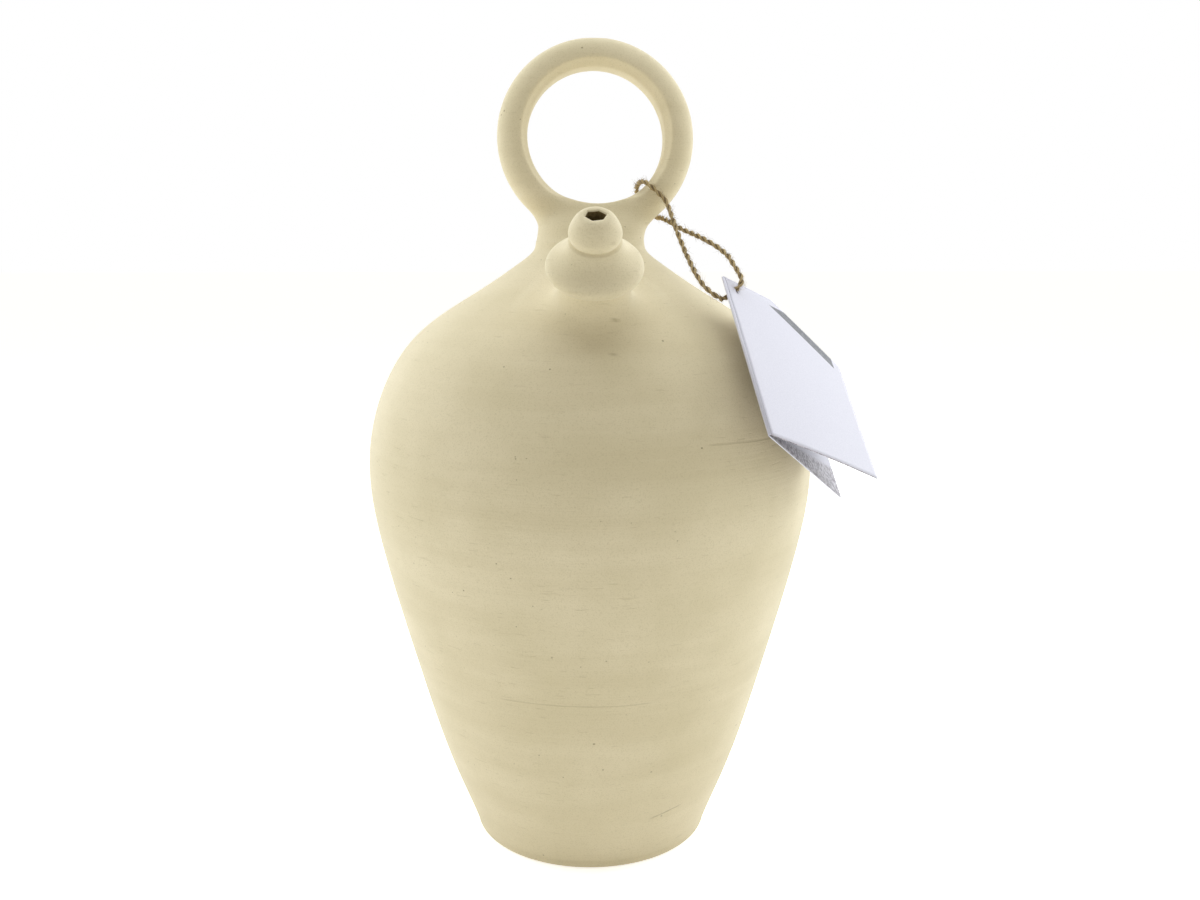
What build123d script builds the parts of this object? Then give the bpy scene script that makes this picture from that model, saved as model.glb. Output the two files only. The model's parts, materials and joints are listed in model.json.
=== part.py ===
from build123d import *
import math
import os

# A drinking jug of unglazed white clay: a tall thrown jar closed at the crown, a stout neck that carries
# a ring handle, a tilted spout with a bulb in front and a short filling mouth behind. A folded card tag
# hangs from the ring on a loop of jute twine and rests on the shoulder.
# Millimetres and degrees. +Z is up, the foot's centre is the origin and the spout points towards -Y.

# Jar
foot_radius = 48.5
foot_edge = 3.6
foot_flare = 19.0
belly_radius = 89.0
belly_height = 158.0
neck_radius = 21.2
jar_height = 244.0
jar_wall = 6.0
floor_thickness = 8.0
floor_corner = 7.0
crown_thickness = 9.0
# Places on the lower wall, from foot to belly: shares of the height and of the widening
lower_wall_shares = ((0.17, 0.22), (0.475, 0.585), (0.78, 0.893))
# Places on the shoulder, from belly to neck: shares of the height and of the narrowing
shoulder_shares = ((0.32, 0.085), (0.575, 0.29), (0.765, 0.63), (0.915, 0.915))

# Neck, drawn up on both sides into a saddle for the ring, a little narrower than the ring is there
saddle_height = 15.5
saddle_inset = 2.3
saddle_half_depth = 8.8
# Places up the neck: shares of the height, of the widening sideways and of the narrowing in depth
saddle_shares = ((0.4, 0.02, 0.3), (0.8, 0.68, 0.82))

# Ring handle, its lowest part bedded below the top of the saddle
ring_outer_radius = 38.8
ring_thickness = 12.0
ring_round = 8.0
ring_half_depth = 8.5
ring_corner = 3.5
ring_bed = 13.9
ring_offset = 2.4
ring_setback = 5.0
ring_lean = 8.0
ring_turn = 3.0

# Drinking spout: collar, bulb and nozzle on one tilted axis, which leaves the shoulder inside the belly
spout_inset = 39.0
spout_tilt = 35.0
root_sink = 9.0
collar_foot_radius = 23.0
collar_foot_drop = 3.5
collar_waist_radius = 15.2
collar_waist_height = 2.2
collar_top_radius = 12.9
collar_height = 9.0
collar_bore_radius = 7.5
bulb_radius = 16.9
bulb_height = 22.0
bulb_wall = 4.4
bulb_mouth_radius = 5.0
bulb_ceiling_thickness = 2.0
# Places up the bulb: shares of its height and of its radius
bulb_low_share = (0.2, 0.95)
bulb_wide_share = (0.43, 1.0)
bulb_high_share = (0.73, 0.82)
groove_radius = 8.8
nozzle_radius = 9.1
nozzle_height = 11.0
nozzle_tip_radius = 5.6
nozzle_bore_radius = 3.1
nozzle_side_share = 0.42
nozzle_dome_shares = (0.8, 0.87)

# Filling mouth
mouth_inset = 39.0
mouth_tilt = 35.0
mouth_foot_radius = 20.5
mouth_foot_drop = 3.5
mouth_waist_radius = 17.2
mouth_waist_height = 8.5
mouth_lip_radius = 19.3
mouth_lip_height = 11.6
mouth_rim_radius = 16.4
mouth_height = 14.0
mouth_bore_radius = 13.0
mouth_root_radius = 14.2
mouth_root_height = 2.0

# Folded card tag, clipped across its outer corner
tag_length = 70.4
tag_width = 61.3
card_thickness = 0.4
fold_gap = 0.4
fold_setback = 0.3
tag_opening = 14.2
clip_across = 35.0
clip_down = 19.0
hole_across = 5.5
hole_down = 4.0
hole_radius = 2.1
# Where the tag touches the shoulder, and how far down and across the back leaf that is
tag_side = -22.5
tag_slant = 35.0
tag_rest_radius = 79.2
tag_rest_gap = 0.4
rest_down = 23.9
rest_across = 40.0

# Jute twine, laid by hand: from the knot behind the ring over the ring's front, down to the tag,
# behind its fold, up through both holes and back behind the ring to the knot
twine_diameter = 1.9
knot_radius = 2.5
knot_overlap = 0.4
corner_share = 0.45
# How far below level the twine hangs on the ring's right side, in degrees
twine_hang = 48.0
# Places from the ring's inner face at that angle: to the right, back and up
twine_over_ring = [
    (2.17, 9.3, -5.18),
    (-1.13, 9.4, -0.88),
    (-1.43, 4.1, 1.22),
    (-0.73, -5.5, 3.02),
    (1.07, -11.9, 2.92),
    (5.57, -13.1, -1.08),
    (9.27, -12.9, -4.48),
]
twine_behind_ring = [
    (10.77, -8.1, -12.28),
    (7.87, 1.5, -10.68),
    (6.97, 7.7, -10.98),
    (5.47, 8.9, -9.18),
]
# Places from the top of the tag's fold: down it, across the back leaf and off its face
twine_through_tag = [
    (2.2, -1.98, -6.86),
    (5.39, -1.15, -5.18),
    (6.79, 0.97, -4.2),
    (6.35, 3.69, -3.68),
    (4.61, 5.5, -2.3),
    (3.91, 4.67, 3.47),
    (2.0, 4.47, 5.19),
    (-1.22, 4.47, 5.15),
    (-5.21, 4.24, 4.17),
]
# Free runs down and up: the share of the way, and how far the twine strays to the right, back and up
down_shares = [
    (0.196, (-0.71, -0.23, -0.03)),
    (0.404, (-1.17, 0.04, -0.47)),
    (0.645, (-1.21, 0.39, -0.85)),
    (0.874, (-1.02, 0.05, -0.43)),
]
up_shares = [
    (0.191, (1.76, 0.2, 1.9)),
    (0.501, (-0.03, -1.23, 2.34)),
    (0.769, (-0.51, -0.62, 0.55)),
]

# How far a cutting solid runs past what it cuts
overrun = 30.0


def turned(edges):
    """The solid that a closed outline of (radius, height) makes when it turns about the upright axis."""
    return revolve(Plane.XZ * make_face(edges), axis=Axis.Z)


def moved_in(places, depth):
    """Each place but the first and last, moved inwards square to the line between its neighbours."""
    inner = []
    for before, place, after in zip(places, places[1:], places[2:]):
        along = (Vector(*after) - Vector(*before)).normalized()
        inner.append((place[0] - along.Y * depth, place[1] + along.X * depth))
    return inner


# Jar: the outline of its wall runs from the foot's worn edge up to the neck
widening = belly_radius - foot_radius
narrowing = belly_radius - neck_radius
shoulder_height = jar_height - belly_height
wall_places = [(foot_radius, foot_edge)]
for up, out in lower_wall_shares:
    wall_places.append((foot_radius + out * widening, up * belly_height))
wall_places.append((belly_radius, belly_height))
for up, inward in shoulder_shares:
    wall_places.append((belly_radius - inward * narrowing, belly_height + up * shoulder_height))
wall_places.append((neck_radius, jar_height))
flare = (math.sin(math.radians(foot_flare)), math.cos(math.radians(foot_flare)))
wall_curve = Spline(wall_places, tangents=[flare, (0, 1)])
foot_inset = foot_radius - foot_edge
jar_solid = turned(
    [
        Line((0, 0), (foot_inset, 0)),
        ThreePointArc(
            (foot_inset, 0),
            (foot_inset + foot_edge * math.sin(math.pi / 4), foot_edge - foot_edge * math.cos(math.pi / 4)),
            (foot_radius, foot_edge),
        ),
        wall_curve,
        Line((neck_radius, jar_height), (0, jar_height)),
        Line((0, jar_height), (0, 0)),
    ]
)

# The hollow keeps the wall's thickness from the rounded floor up to the flat ceiling under the neck
floor_edge_radius = foot_radius - jar_wall
inner_floor_radius = floor_edge_radius - floor_corner
floor_corner_top = floor_thickness + floor_corner
ceiling_radius = neck_radius - jar_wall
ceiling_height = jar_height - crown_thickness
inner_places = [(floor_edge_radius, floor_corner_top)]
inner_places += moved_in(wall_places, jar_wall)
inner_places.append((ceiling_radius, ceiling_height))
hollow = turned(
    [
        Line((0, floor_thickness), (inner_floor_radius, floor_thickness)),
        ThreePointArc(
            (inner_floor_radius, floor_thickness),
            (
                inner_floor_radius + floor_corner * math.sin(math.pi / 4),
                floor_corner_top - floor_corner * math.cos(math.pi / 4),
            ),
            (floor_edge_radius, floor_corner_top),
        ),
        Spline(inner_places, tangents=[flare, (-1, 0)]),
        Line((ceiling_radius, ceiling_height), (0, ceiling_height)),
        Line((0, ceiling_height), (0, floor_thickness)),
    ]
)


def shoulder_at(radius):
    """Height and steepness, in degrees, of the shoulder's surface at a radius."""
    low, high = wall_curve.param_at_point((belly_radius, belly_height)), 1
    for _ in range(40):
        middle = (low + high) / 2
        if wall_curve.position_at(middle).X > radius:
            low = middle
        else:
            high = middle
    along = wall_curve.tangent_at(middle)
    return wall_curve.position_at(middle).Y, math.degrees(math.atan2(along.Y, -along.X))


# Drinking spout: the collar is luted to the shoulder round its water hole
spout_reach = belly_radius - spout_inset
spout_place = Pos(0, -spout_reach, shoulder_at(spout_reach)[0]) * Rot(spout_tilt, 0, 0)
spout_passage = spout_place * Cylinder(collar_bore_radius, 2 * overrun)
collar = turned(
    [
        Line((collar_bore_radius, -root_sink), (collar_foot_radius, -root_sink)),
        Line((collar_foot_radius, -root_sink), (collar_foot_radius, -collar_foot_drop)),
        ThreePointArc(
            (collar_foot_radius, -collar_foot_drop),
            (collar_waist_radius, collar_waist_height),
            (collar_top_radius, collar_height),
        ),
        Line((collar_top_radius, collar_height), (collar_bore_radius, collar_height)),
        Line((collar_bore_radius, collar_height), (collar_bore_radius, -root_sink)),
    ]
)

# The bulb bellies out over the seam and draws in to the groove under the nozzle
groove_height = collar_height + bulb_height
bulb_places = [(collar_top_radius, collar_height)]
for up, out in (bulb_low_share, bulb_wide_share, bulb_high_share):
    bulb_places.append((out * bulb_radius, collar_height + up * bulb_height))
bulb_places.append((groove_radius, groove_height))
bulb_ceiling_height = groove_height - bulb_ceiling_thickness
bulb = turned(
    [
        Spline(bulb_places, tangents=[(1, 1), (-1, 1)]),
        Line((groove_radius, groove_height), (bulb_mouth_radius, groove_height)),
        Line((bulb_mouth_radius, groove_height), (bulb_mouth_radius, bulb_ceiling_height)),
        ThreePointArc(
            (bulb_mouth_radius, bulb_ceiling_height),
            (bulb_radius - bulb_wall, collar_height + bulb_wide_share[0] * bulb_height),
            (collar_bore_radius, collar_height),
        ),
        Line((collar_bore_radius, collar_height), (collar_top_radius, collar_height)),
    ]
)

# The nozzle has upright sides, a domed end and the pouring hole
nozzle_top = groove_height + nozzle_height
nozzle_side = (nozzle_radius, groove_height + nozzle_side_share * nozzle_height)
nozzle_dome = (nozzle_dome_shares[1] * nozzle_radius, groove_height + nozzle_dome_shares[0] * nozzle_height)
nozzle = turned(
    [
        Line((nozzle_bore_radius, groove_height), (groove_radius, groove_height)),
        Line((groove_radius, groove_height), nozzle_side),
        Spline([nozzle_side, nozzle_dome, (nozzle_tip_radius, nozzle_top)], tangents=[(0, 1), (-1, 0)]),
        Line((nozzle_tip_radius, nozzle_top), (nozzle_bore_radius, nozzle_top)),
        Line((nozzle_bore_radius, nozzle_top), (nozzle_bore_radius, groove_height)),
    ]
)

# Filling mouth: a short neck with a rolled lip, luted to the back of the shoulder
mouth_reach = belly_radius - mouth_inset
mouth_place = Pos(0, mouth_reach, shoulder_at(mouth_reach)[0]) * Rot(-mouth_tilt, 0, 0)
mouth_passage = Pos(0, 0, mouth_root_height - overrun) * Cylinder(mouth_root_radius, 2 * overrun)
mouth_passage = mouth_place * mouth_passage
mouth = turned(
    [
        Line((mouth_root_radius, -root_sink), (mouth_foot_radius, -root_sink)),
        Line((mouth_foot_radius, -root_sink), (mouth_foot_radius, -mouth_foot_drop)),
        Spline(
            [(mouth_foot_radius, -mouth_foot_drop), (mouth_waist_radius, mouth_waist_height)],
            tangents=[(-1, 1), (0, 1)],
        ),
        ThreePointArc(
            (mouth_waist_radius, mouth_waist_height),
            (mouth_lip_radius, mouth_lip_height),
            (mouth_rim_radius, mouth_height),
        ),
        Line((mouth_rim_radius, mouth_height), (mouth_bore_radius, mouth_height)),
        Line((mouth_bore_radius, mouth_height), (mouth_bore_radius, mouth_root_height)),
        Line((mouth_bore_radius, mouth_root_height), (mouth_root_radius, mouth_root_height)),
        Line((mouth_root_radius, mouth_root_height), (mouth_root_radius, -root_sink)),
    ]
)

# The shell is open under the spout and under the filling mouth; both roots follow its outside.
# The foot is thrown in one with it and is a solid of its own here, up to the top of the floor.
above_floor = Pos(0, 0, floor_thickness) * Cylinder(
    2 * belly_radius,
    jar_height,
    align=(Align.CENTER, Align.CENTER, Align.MIN),
)
jar_foot = jar_solid - above_floor
body_shell = (jar_solid & above_floor) - hollow - spout_passage - mouth_passage
spout_collar = spout_place * collar - jar_solid
spout_bulb = spout_place * bulb
spout_nozzle = spout_place * nozzle
filling_mouth = mouth_place * mouth - jar_solid

# Ring handle: a D in section, thrown as a full ring, its lowest part bedded in the neck
saddle_top = jar_height + saddle_height
saddle_drop = ring_outer_radius - ring_bed
ring_centre_height = saddle_top + saddle_drop
ring_inner_radius = ring_outer_radius - ring_thickness
ring_place = Pos(ring_offset, ring_setback, ring_centre_height) * Rot(0, 0, ring_turn) * Rot(-ring_lean, 0, 0)
ring_section = Pos(ring_outer_radius - ring_round, 0) * Ellipse(ring_round, ring_half_depth)
ring_section -= Rectangle(2 * ring_inner_radius, 2 * ring_outer_radius)
flat_corners = ring_section.vertices().group_by(Axis.X)[0]
ring_section = fillet(flat_corners, ring_corner)
ring = ring_place * Rot(90, 0, 0) * revolve(Plane.XZ * ring_section, axis=Axis.Z)
ring_hole = ring_place * Rot(90, 0, 0) * Cylinder(ring_inner_radius, 2 * overrun)

# Neck: round where it leaves the jar, wide and thin at the saddle, with the ring's bed cut to the ring
saddle_half_width = math.sqrt(ring_outer_radius**2 - saddle_drop**2) - saddle_inset
saddle_setback = ring_setback - saddle_drop * math.sin(math.radians(ring_lean))
neck_slices = [Pos(0, 0, jar_height) * Circle(neck_radius)]
for up, widened, thinned in saddle_shares + ((1, 1, 1),):
    slice_place = Pos(up * ring_offset, up * saddle_setback, jar_height + up * saddle_height)
    half_width = neck_radius + widened * (saddle_half_width - neck_radius)
    half_depth = neck_radius - thinned * (neck_radius - saddle_half_depth)
    neck_slices.append(slice_place * Rot(0, 0, up * ring_turn) * Ellipse(half_width, half_depth))
above_saddle = Pos(0, 0, saddle_top) * Box(
    4 * ring_outer_radius,
    4 * ring_outer_radius,
    4 * ring_outer_radius,
    align=(Align.CENTER, Align.CENTER, Align.MIN),
)
neck = loft(neck_slices) + (ring - above_saddle) - ring_hole
ring_handle = ring & above_saddle

# Tag: the back leaf lies on the shoulder and the front leaf stands open about the fold
rest_height, rest_steepness = shoulder_at(tag_rest_radius)
side = math.radians(tag_side)
rise = math.radians(90 - rest_steepness)
outward = Vector(math.cos(side), math.sin(side), 0)
sideways = Vector(-math.sin(side), math.cos(side), 0)
upward = Vector(0, 0, 1)
square_off = outward * math.cos(rise) + upward * math.sin(rise)
downhill = outward * math.sin(rise) - upward * math.cos(rise)
slant = math.radians(tag_slant)
down_fold = downhill * math.cos(slant) - sideways * math.sin(slant)
across_back = downhill * math.sin(slant) + sideways * math.cos(slant)
opening = math.radians(tag_opening)
front_off = square_off * math.cos(opening) - across_back * math.sin(opening)
touch_point = outward * tag_rest_radius + upward * rest_height
back_depth = fold_gap / 2 + card_thickness
fold_top = (
    touch_point
    + square_off * (back_depth + tag_rest_gap)
    - down_fold * rest_down
    - across_back * rest_across
)


def leaf(facing, depth):
    """One leaf of the card, drawn down and across from the top of the fold, its underside at a depth."""
    leaf_plane = Plane(origin=fold_top + facing * depth, x_dir=down_fold, z_dir=facing)
    outline = make_face(
        Polyline(
            (0, fold_setback),
            (tag_length, fold_setback),
            (tag_length, tag_width),
            (clip_down, tag_width),
            (0, tag_width - clip_across),
            close=True,
        )
    )
    outline -= Pos(hole_down, hole_across) * Circle(hole_radius)
    return leaf_plane * extrude(outline, card_thickness)


tag_back_leaf = leaf(square_off, -back_depth)
tag_front_leaf = leaf(front_off, fold_gap / 2)

# Twine: it follows the ring at one end and the tag at the other, and hangs between them
hang = math.radians(twine_hang)
ring_hang = Vector(
    ring_offset + ring_inner_radius * math.cos(hang),
    ring_setback,
    ring_centre_height - ring_inner_radius * math.sin(hang),
)


def free_run(start, end, shares):
    """Points of the twine where it hangs between two places."""
    return [start + (end - start) * share + Vector(*stray) for share, stray in shares]


over_ring = [ring_hang + Vector(*place) for place in twine_over_ring]
behind_ring = [ring_hang + Vector(*place) for place in twine_behind_ring]
through_tag = [
    fold_top + down_fold * down + across_back * across + square_off * off
    for down, across, off in twine_through_tag
]
twine_points = over_ring + free_run(over_ring[-1], through_tag[0], down_shares) + through_tag
twine_points += free_run(through_tag[-1], behind_ring[0], up_shares) + behind_ring

# Straight runs joined by arcs, each arc using up the same share of its shorter run
bend_radii = []
for before, point, after in zip(twine_points, twine_points[1:], twine_points[2:]):
    arriving = point - before
    leaving = after - point
    half_turn = math.radians(arriving.get_angle(leaving)) / 2
    bend_radii.append(corner_share * min(arriving.length, leaving.length) / math.tan(half_turn))
twine_line = FilletPolyline(twine_points, radius=bend_radii)
twine_start = Plane(origin=twine_line @ 0, z_dir=twine_line % 0)
twine_loop = sweep(twine_start * Circle(twine_diameter / 2), path=twine_line)

# Knot: it closes over the loop's two ends
knot_span = twine_points[0] - twine_points[-1]
knot_place = Plane(origin=(twine_points[0] + twine_points[-1]) * 0.5, z_dir=knot_span)
knot_half = knot_span.length / 2 + knot_overlap
knot_end_radius = (knot_radius + twine_diameter / 2) / 2
twine_knot = knot_place * turned(
    [
        Line((0, -knot_half), (knot_end_radius, -knot_half)),
        ThreePointArc((knot_end_radius, -knot_half), (knot_radius, 0), (knot_end_radius, knot_half)),
        Line((knot_end_radius, knot_half), (0, knot_half)),
        Line((0, knot_half), (0, -knot_half)),
    ]
)
twine_knot -= twine_loop

pieces = {
    "jar_foot": jar_foot,
    "body_shell": body_shell,
    "neck": neck,
    "ring_handle": ring_handle,
    "spout_collar": spout_collar,
    "spout_bulb": spout_bulb,
    "spout_nozzle": spout_nozzle,
    "filling_mouth": filling_mouth,
    "twine_loop": twine_loop,
    "twine_knot": twine_knot,
    "tag_back_leaf": tag_back_leaf,
    "tag_front_leaf": tag_front_leaf,
}
os.makedirs("parts", exist_ok=True)
for name, piece in pieces.items():
    export_step(piece, f"parts/{name}.step")
    print(name, round(piece.volume), "cubic mm in", len(piece.solids()), "solid")
print("twine length", round(twine_line.length, 1), "bend radii", [round(radius, 1) for radius in bend_radii])
twine_section = math.pi * (twine_diameter / 2) ** 2
print("twine volume over section times length", twine_loop.volume / (twine_section * twine_line.length))
print("fold top", fold_top, "down", down_fold, "back across", across_back, "back facing", square_off)
print("shoulder at the spout and mouth", shoulder_at(spout_reach), shoulder_at(mouth_reach))
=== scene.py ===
import json
import math
import random

import bmesh
import bpy
import numpy as np
import openvdb
from mathutils import Matrix, Vector, noise


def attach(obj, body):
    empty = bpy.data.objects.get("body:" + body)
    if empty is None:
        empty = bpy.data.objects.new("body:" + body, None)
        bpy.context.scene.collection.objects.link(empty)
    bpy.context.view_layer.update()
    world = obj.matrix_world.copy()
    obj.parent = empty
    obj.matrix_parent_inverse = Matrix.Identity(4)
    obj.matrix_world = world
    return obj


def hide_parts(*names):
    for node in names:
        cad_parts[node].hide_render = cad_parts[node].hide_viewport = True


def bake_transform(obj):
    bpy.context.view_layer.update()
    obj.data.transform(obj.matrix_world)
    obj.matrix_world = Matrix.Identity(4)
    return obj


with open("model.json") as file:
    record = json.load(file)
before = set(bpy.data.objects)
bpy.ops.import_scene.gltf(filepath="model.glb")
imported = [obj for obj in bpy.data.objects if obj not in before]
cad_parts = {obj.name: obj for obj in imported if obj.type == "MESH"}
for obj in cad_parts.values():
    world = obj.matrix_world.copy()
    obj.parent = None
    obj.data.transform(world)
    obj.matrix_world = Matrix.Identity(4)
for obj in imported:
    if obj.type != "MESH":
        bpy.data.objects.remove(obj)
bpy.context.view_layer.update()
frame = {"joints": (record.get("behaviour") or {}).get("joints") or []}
random.seed(7)

# CAMERA
# Half a metre from the jug and a little above its shoulder, so that the foot is seen from above and
# the ring handle slightly from below. It stands 2 degrees round towards the jug's left.
camera_distance = 0.4814
camera_height = 0.251
camera_pitch = 10.7
camera_side = 2.0
camera_offset = 0.00398
sensor_mm, lens_mm = 36.0, 35.85

turn = math.radians(camera_side)
camera_data = bpy.data.cameras.new("camera")
camera_data.sensor_width = sensor_mm
camera_data.lens = lens_mm
camera = bpy.data.objects.new("camera", camera_data)
camera.location = (
    camera_offset * math.cos(turn) - camera_distance * math.sin(turn),
    -camera_offset * math.sin(turn) - camera_distance * math.cos(turn),
    camera_height,
)
camera.rotation_euler = (math.radians(90 - camera_pitch), 0, -turn)
bpy.context.scene.collection.objects.link(camera)
bpy.context.scene.camera = camera
bpy.context.scene.view_settings.view_transform = "Standard"

# LIGHT TENT
# A white fabric tent: the walls beside and a little behind the jug are lit hardest, the roof less and
# the side towards the camera least, so the clay's edges are bright and its middle is darker.
cool_daylight = (0.95, 1.0, 1.03)
# Each softbox: its place, what it faces, its width and height in metres, and its power in watts
softboxes = {
    "tent_left_wall": ((-0.74, 0.27, 0.22), (0.0, 0.0, 0.14), 0.9, 1.1, 5.8),
    "tent_right_wall": ((0.74, 0.27, 0.22), (0.0, 0.0, 0.14), 0.9, 1.1, 6.3),
    "tent_roof": ((0.0, 0.12, 0.95), (0.0, 0.0, 0.20), 0.9, 0.9, 4.6),
}
for name, (place, target, width, height, power) in softboxes.items():
    lamp = bpy.data.lights.new(name, "AREA")
    lamp.shape = "RECTANGLE"
    lamp.size = width
    lamp.size_y = height
    lamp.energy = power
    lamp.color = cool_daylight
    box = bpy.data.objects.new(name, lamp)
    box.location = place
    box.rotation_euler = (Vector(target) - Vector(place)).to_track_quat("-Z", "Y").to_euler()
    bpy.context.scene.collection.objects.link(box)


pure_white = (1, 1, 1, 1)


def linear(code):
    """A colour written as sRGB hex, turned to the linear values that the shaders use."""
    parts = [int(code[i : i + 2], 16) / 255 for i in (1, 3, 5)]
    return [p / 12.92 if p <= 0.04045 else ((p + 0.055) / 1.055) ** 2.4 for p in parts] + [1.0]


def add_node(tree, kind, links=(), **settings):
    """Adds one node: settings name its properties or input sockets, links join its inputs to outputs."""
    node = tree.nodes.new(kind)
    for name, value in settings.items():
        socket = node.inputs.get(name.replace("_", " "))
        if socket is not None and not hasattr(node, name):
            socket.default_value = value
        else:
            setattr(node, name, value)
    for name, output in links:
        tree.links.new(output, node.inputs[name])
    return node


def new_material(name):
    """An empty node material, with its output, ready for a shader."""
    material = bpy.data.materials.new(name)
    material.use_nodes = True
    material.node_tree.nodes.clear()
    return material, material.node_tree


def seen_directly(tree):
    """1 where the camera sees the surface, straight or in a gloss or through glass."""
    path = add_node(tree, "ShaderNodeLightPath")
    either = add_node(
        tree,
        "ShaderNodeMath",
        [(0, path.outputs["Is Camera Ray"]), (1, path.outputs["Is Glossy Ray"])],
        operation="MAXIMUM",
    )
    return add_node(
        tree,
        "ShaderNodeMath",
        [(0, either.outputs[0]), (1, path.outputs["Is Transmission Ray"])],
        operation="MAXIMUM",
    ).outputs[0]


world = bpy.data.worlds.new("white_tent")
world.use_nodes = True
bpy.context.scene.world = world
tent = world.node_tree
tent.nodes.clear()
heading = add_node(tent, "ShaderNodeTexCoord").outputs["Generated"]
heading = add_node(tent, "ShaderNodeSeparateXYZ", [(0, heading)]).outputs["Y"]
tent_level = add_node(
    tent,
    "ShaderNodeMapRange",
    [("Value", heading)],
    **{"From_Min": -0.9, "From_Max": 0.3, "To_Min": 0.39, "To_Max": 0.48},
)
tent_light = add_node(
    tent, "ShaderNodeBackground", [("Strength", tent_level.outputs[0])], Color=linear("#fffbf2")
)
tent_seen = add_node(tent, "ShaderNodeBackground", Color=pure_white, Strength=1.0)
tent_mix = add_node(
    tent,
    "ShaderNodeMixShader",
    [(0, seen_directly(tent)), (1, tent_light.outputs[0]), (2, tent_seen.outputs[0])],
)
add_node(tent, "ShaderNodeOutputWorld", [("Surface", tent_mix.outputs[0])])

# The tent's floor: white seamless paper that keeps the jug's soft shadow
paper, tree = new_material("white_seamless_paper")
paper_face = add_node(tree, "ShaderNodeBsdfDiffuse", Color=linear("#f6f6f4"))
paper_glow = add_node(tree, "ShaderNodeEmission", Color=pure_white, Strength=0.62)
paper_seen = add_node(
    tree, "ShaderNodeAddShader", [(0, paper_face.outputs[0]), (1, paper_glow.outputs[0])]
)
paper_lit = add_node(tree, "ShaderNodeEmission", Color=pure_white, Strength=0.26)
paper_light = add_node(
    tree, "ShaderNodeAddShader", [(0, paper_face.outputs[0]), (1, paper_lit.outputs[0])]
)
paper_mix = add_node(
    tree,
    "ShaderNodeMixShader",
    [(0, seen_directly(tree)), (1, paper_light.outputs[0]), (2, paper_seen.outputs[0])],
)
add_node(tree, "ShaderNodeOutputMaterial", [("Surface", paper_mix.outputs[0])])
floor_mesh = bpy.data.meshes.new("floor")
edge = 6.0
floor_mesh.from_pydata(
    [(-edge, -edge, 0), (edge, -edge, 0), (edge, edge, 0), (-edge, edge, 0)], [], [(0, 1, 2, 3)]
)
floor_mesh.materials.append(paper)
floor = bpy.data.objects.new("floor", floor_mesh)
bpy.context.scene.collection.objects.link(floor)

# CLAY
# Calcareous white earthenware, fired once and left unglazed so that water sweats through it. It is
# matte and slightly chalky, with the wheel's fine level lines, a few drags of grit and tiny dark pits.
throwing_line_mm = 0.9
broad_band_mm = 14.0
cloud_mm = 34.0
pit_spacing_mm = 3.4
grain_mm = 0.55
drag_mm = 0.8

clay, tree = new_material("unglazed_white_earthenware")
place = add_node(tree, "ShaderNodeTexCoord").outputs["Object"]


def stretched(scale_mm, sideways):
    """Object coordinates in units of a real size, stretched sideways along the wheel's lines."""
    per_metre = 1000 / scale_mm
    return add_node(
        tree,
        "ShaderNodeMapping",
        [("Vector", place)],
        Scale=(per_metre * sideways, per_metre * sideways, per_metre),
    ).outputs[0]


def noise_at(scale_mm, sideways, detail=3.0, roughness=0.55):
    """Noise whose patches have a real size, stretched sideways like the wheel's lines."""
    return add_node(
        tree,
        "ShaderNodeTexNoise",
        [("Vector", stretched(scale_mm, sideways))],
        Scale=1.0,
        Detail=detail,
        Roughness=roughness,
    ).outputs["Fac"]


def eased(value, low, high, to_low=0.0, to_high=1.0):
    """A value mapped from one range to another, held at its ends."""
    return add_node(
        tree,
        "ShaderNodeMapRange",
        [("Value", value)],
        **{"From_Min": low, "From_Max": high, "To_Min": to_low, "To_Max": to_high},
    ).outputs[0]


def worked(first, second, operation):
    """Two values, sockets or numbers, joined by one sum."""
    node = add_node(tree, "ShaderNodeMath", operation=operation)
    for index, value in enumerate((first, second)):
        if isinstance(value, (int, float)):
            node.inputs[index].default_value = value
        else:
            tree.links.new(value, node.inputs[index])
    return node.outputs[0]


def tinted(amount, first, second):
    """A mix of two colours, each a hex code or a socket, by an amount."""
    node = add_node(tree, "ShaderNodeMix", data_type="RGBA")
    if isinstance(amount, (int, float)):
        node.inputs[0].default_value = amount
    else:
        tree.links.new(amount, node.inputs[0])
    for index, colour in ((6, first), (7, second)):
        if isinstance(colour, str):
            node.inputs[index].default_value = linear(colour)
        else:
            tree.links.new(colour, node.inputs[index])
    return node.outputs[2]


bands = noise_at(broad_band_mm, 0.12, detail=2.0)
lines = noise_at(throwing_line_mm, 0.03, detail=2.0)
clouds = noise_at(cloud_mm, 1.0, detail=4.0)
grain = noise_at(grain_mm, 1.0, detail=2.0, roughness=0.7)
pits = add_node(
    tree,
    "ShaderNodeTexVoronoi",
    [("Vector", stretched(pit_spacing_mm, 0.8))],
    Scale=1.0,
    Randomness=1.0,
).outputs["Distance"]
pit_choice = noise_at(pit_spacing_mm * 2.2, 1.0, detail=1.0)
pit_size = eased(pit_choice, 0.46, 0.74, -0.04, 0.09)
pit_mask = eased(worked(pits, pit_size, "SUBTRACT"), 0.0, 0.04, 1.0, 0.0)
drag_mask = eased(noise_at(drag_mm, 0.10, detail=1.0), 0.70, 0.76)

body_colour = tinted(eased(clouds, 0.35, 0.68), "#d9cdab", "#e2d6b6")
body_colour = tinted(eased(bands, 0.42, 0.62, 0.0, 0.4), body_colour, "#d0c39f")
body_colour = tinted(eased(lines, 0.5, 0.8, 0.0, 0.2), body_colour, "#e2d8ba")
body_colour = tinted(eased(grain, 0.50, 0.78, 0.0, 0.55), body_colour, "#bfb28b")
body_colour = tinted(worked(drag_mask, 0.16, "MULTIPLY"), body_colour, "#a99a72")
body_colour = tinted(worked(pit_mask, 0.65, "MULTIPLY"), body_colour, "#8a7a54")


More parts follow.
